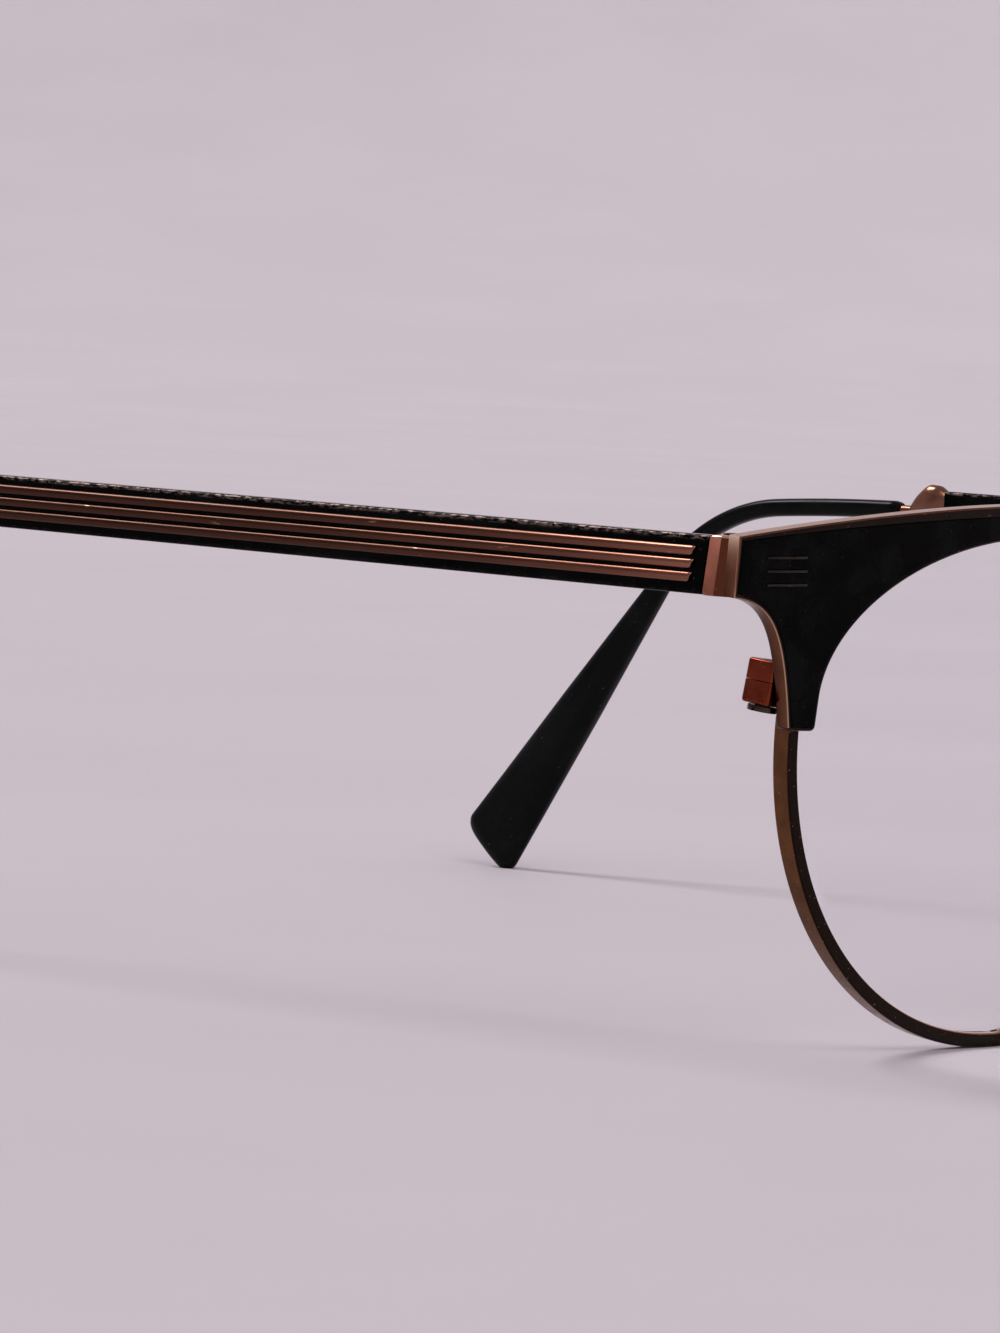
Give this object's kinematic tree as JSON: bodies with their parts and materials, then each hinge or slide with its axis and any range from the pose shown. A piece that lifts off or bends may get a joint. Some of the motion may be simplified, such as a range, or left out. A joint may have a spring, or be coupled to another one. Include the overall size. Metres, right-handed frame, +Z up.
{
  "type": "eyeglass frame",
  "caption": "Browline eyeglass frame: black-faced metal brows over round grooved rims, ribbed black folding temples and rocking nose pads.",
  "frame": {"origin": "centre of the box's foot, on the table the glasses stand on", "axes": "+X towards the wearer's left, +Y from the front back towards the ears, +Z up"},
  "size_m": [0.1396, 0.1391, 0.0437],
  "materials": {
    "rose_gold": "polished rose-gold plating",
    "black_lacquer": "gloss black lacquer",
    "black_acetate": "gloss",
    "clear_lens": "clear, coated",
    "silicone": "translucent satin"
  },
  "bodies": {
    "front": {"bridge": "rose_gold", "brow_face_left": "black_lacquer", "brow_face_right": "black_lacquer", "brow_line_1_left": "rose_gold", "brow_line_1_right": "rose_gold", "brow_line_2_left": "rose_gold", "brow_line_2_right": "rose_gold", "brow_line_3_left": "rose_gold", "brow_line_3_right": "rose_gold", "brow_plate_left": "rose_gold", "brow_plate_right": "rose_gold", "endpiece_left": "rose_gold", "endpiece_right": "rose_gold", "eyewire_left": "rose_gold", "eyewire_right": "rose_gold", "hinge_screw_left": "rose_gold", "hinge_screw_right": "rose_gold", "lens_left": "clear_lens", "lens_right": "clear_lens", "lock_lower_left": "rose_gold", "lock_lower_right": "rose_gold", "lock_screw_left": "rose_gold", "lock_screw_right": "rose_gold", "lock_upper_left": "rose_gold", "lock_upper_right": "rose_gold", "pad_arm_left": "rose_gold", "pad_arm_right": "rose_gold", "pad_box_left": "rose_gold", "pad_box_right": "rose_gold", "pad_screw_left": "rose_gold", "pad_screw_right": "rose_gold"},
    "temple_left": {"core_wire_left": "rose_gold", "temple_bar_left": "black_lacquer", "temple_cap_left": "rose_gold", "temple_collar_left": "rose_gold", "temple_hinge_left": "rose_gold", "temple_rib_1_left": "rose_gold", "temple_rib_2_left": "rose_gold", "temple_rib_3_left": "rose_gold", "temple_tip_left": "black_acetate"},
    "temple_right": {"core_wire_right": "rose_gold", "temple_bar_right": "black_lacquer", "temple_cap_right": "rose_gold", "temple_collar_right": "rose_gold", "temple_hinge_right": "rose_gold", "temple_rib_1_right": "rose_gold", "temple_rib_2_right": "rose_gold", "temple_rib_3_right": "rose_gold", "temple_tip_right": "black_acetate"},
    "nose_pad_left": {"nose_pad_left": "silicone"},
    "nose_pad_right": {"nose_pad_right": "silicone"}
  },
  "joints": [
    {"name": "temple_right_fold", "type": "hinge", "parent": "front", "child": "temple_right", "pos_m": [-0.06645, -0.06268, 0.03843], "axis": [0, 0, -1], "range_deg": [0, 88]},
    {"name": "temple_left_fold", "type": "hinge", "parent": "front", "child": "temple_left", "pos_m": [0.06645, -0.06268, 0.03843], "axis": [0, 0, 1], "range_deg": [0, 80]},
    {"name": "nose_pad_right_rock", "type": "hinge", "parent": "front", "child": "nose_pad_right", "pos_m": [-0.0088, -0.05834, 0.02441], "axis": [-0.4695, 0.8776, 0.0969], "range_deg": [-8, 8]},
    {"name": "nose_pad_left_rock", "type": "hinge", "parent": "front", "child": "nose_pad_left", "pos_m": [0.0088, -0.05834, 0.02441], "axis": [0.4695, 0.8776, 0.0969], "range_deg": [-8, 8]}
  ]
}
